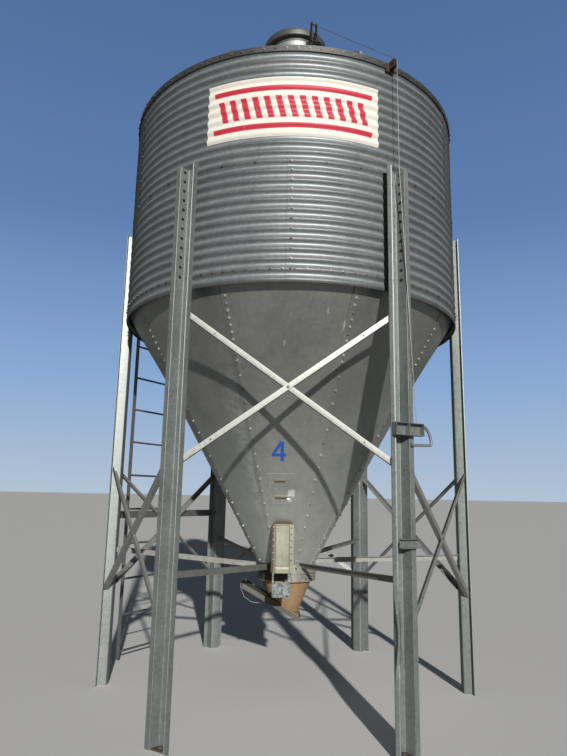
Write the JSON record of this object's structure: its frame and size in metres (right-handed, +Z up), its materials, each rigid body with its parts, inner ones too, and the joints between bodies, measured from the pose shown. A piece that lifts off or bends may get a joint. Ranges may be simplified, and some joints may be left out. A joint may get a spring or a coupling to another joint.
{
  "type": "galvanised steel hopper silo on legs",
  "caption": "Round corrugated steel feed silo with a low cone roof and a steep panelled hopper, carried on open channel legs with cross braces, a ladder and a slide gate.",
  "frame": {"origin": "on the axis of the round wall, at the ground under the foot plates", "axes": "+Z up along the silo's axis, -Y towards the front with the side chute, +X to its right"},
  "size_m": [2.9216, 2.746, 5.655],
  "materials": {
    "wall_sheet": "dull galvanised corrugated sheet",
    "roof_sheet": "dull galvanised sheet",
    "hopper_sheet": "weathered galvanised sheet, greenish grey",
    "lid_sheet": "dull galvanised pressing",
    "leg_channel": "weathered galvanised channel",
    "brace_angle": "pale weathered galvanised angle",
    "ladder_steel": "dark weathered galvanised bar",
    "outlet_sheet": "galvanised sheet with dust and rust",
    "spangled_sheet": "spangled galvanised sheet",
    "boot_sheet": "sheet stained tan by feed and rust",
    "gate_steel": "dull galvanised steel",
    "dark_steel": "dark weathered steel",
    "rusty_steel": "rusted steel",
    "cable_steel": "dull wire",
    "panel_print": "white painted panel with red stripes"
  },
  "bodies": {
    "silo": {"wall_lower_left": "wall_sheet", "wall_lower_right": "wall_sheet", "wall_lower_back": "wall_sheet", "wall_upper_front": "wall_sheet", "wall_upper_right": "wall_sheet", "wall_upper_left": "wall_sheet", "hopper_panel_1": "hopper_sheet", "hopper_panel_2": "hopper_sheet", "hopper_panel_3": "hopper_sheet", "hopper_panel_4": "hopper_sheet", "hopper_panel_5": "hopper_sheet", "hopper_panel_6": "hopper_sheet", "hopper_panel_7": "hopper_sheet", "hopper_panel_8": "hopper_sheet", "hopper_panel_9": "hopper_sheet", "roof_front": "roof_sheet", "roof_right": "roof_sheet", "roof_left": "roof_sheet", "eave_angle_ring": "roof_sheet", "fill_neck": "roof_sheet", "lid": "lid_sheet", "lid_lever": "dark_steel", "lid_cable": "cable_steel", "eave_pulley": "rusty_steel", "leg_front_left": "leg_channel", "leg_front_right": "leg_channel", "leg_right": "leg_channel", "leg_back_right": "leg_channel", "leg_back_left": "leg_channel", "leg_left": "leg_channel", "brace_front": "brace_angle", "brace_front_right": "brace_angle", "brace_back_right": "brace_angle", "brace_back": "brace_angle", "brace_back_left": "brace_angle", "brace_front_left": "brace_angle", "stay_front_left": "brace_angle", "stay_front_right": "brace_angle", "stay_right": "brace_angle", "stay_back_right": "brace_angle", "stay_back_left": "brace_angle", "stay_left": "brace_angle", "ladder": "ladder_steel", "ladder_girt": "ladder_steel", "ladder_bracket_lower": "ladder_steel", "ladder_bracket_upper": "ladder_steel", "pull_bracket_upper": "leg_channel", "pull_bracket_lower": "leg_channel", "pull_handle": "dark_steel", "outlet_collar": "outlet_sheet", "side_chute": "outlet_sheet", "chute_slide_plate": "spangled_sheet", "boot": "boot_sheet", "gate_frame": "gate_steel"},
    "gate": {"gate_plate": "gate_steel", "gate_pull_wire": "cable_steel"}
  },
  "joints": [
    {"name": "gate_slide", "type": "slide", "parent": "silo", "child": "gate", "axis": [-0.8797, 0, 0.4756], "range_m": [0, 0.24]}
  ]
}
